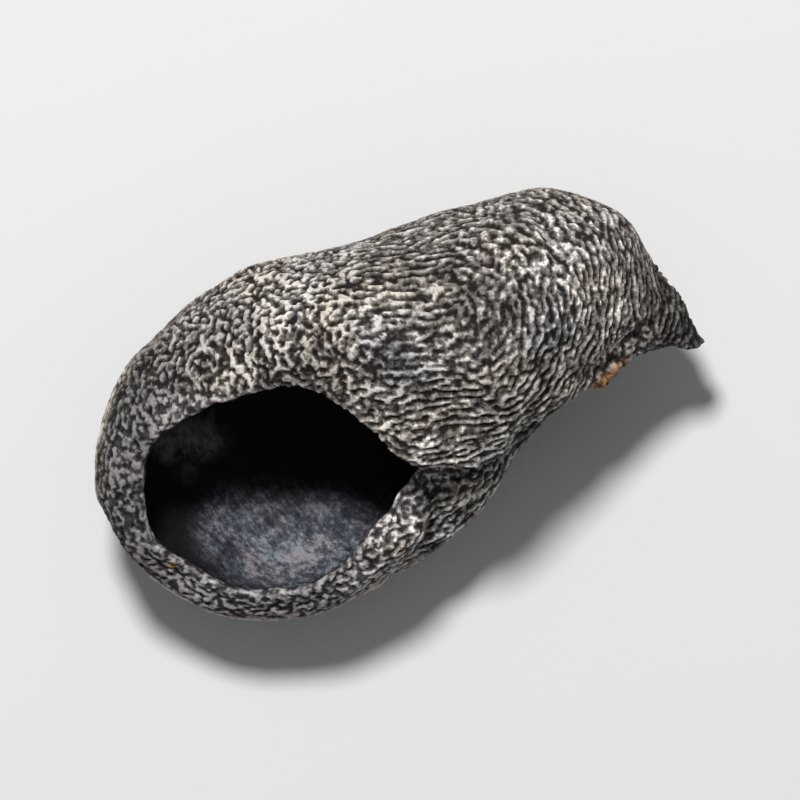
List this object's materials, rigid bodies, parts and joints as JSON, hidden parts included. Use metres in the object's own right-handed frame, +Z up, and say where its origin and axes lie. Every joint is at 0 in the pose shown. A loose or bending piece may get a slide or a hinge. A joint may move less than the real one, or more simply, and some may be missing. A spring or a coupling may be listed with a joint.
{
  "type": "dried wood ear mushroom",
  "caption": "Whole dried wood ear mushroom, curled into a hooded pouch with a wrinkled grey outside and a smooth blue-black inside.",
  "frame": {"origin": "bottom centre of the ear's bounding box, on the surface it lies on", "axes": "+X along the pouch towards the stub, +Y towards the back of the hood, +Z up"},
  "size_m": [0.0342, 0.0241, 0.016],
  "materials": {
    "dried_flesh": "matt, leathery and finely wrinkled in warm grey outside, smooth and blue-black inside"
  },
  "bodies": {
    "root": {"wood_ear": "dried_flesh"}
  },
  "joints": []
}
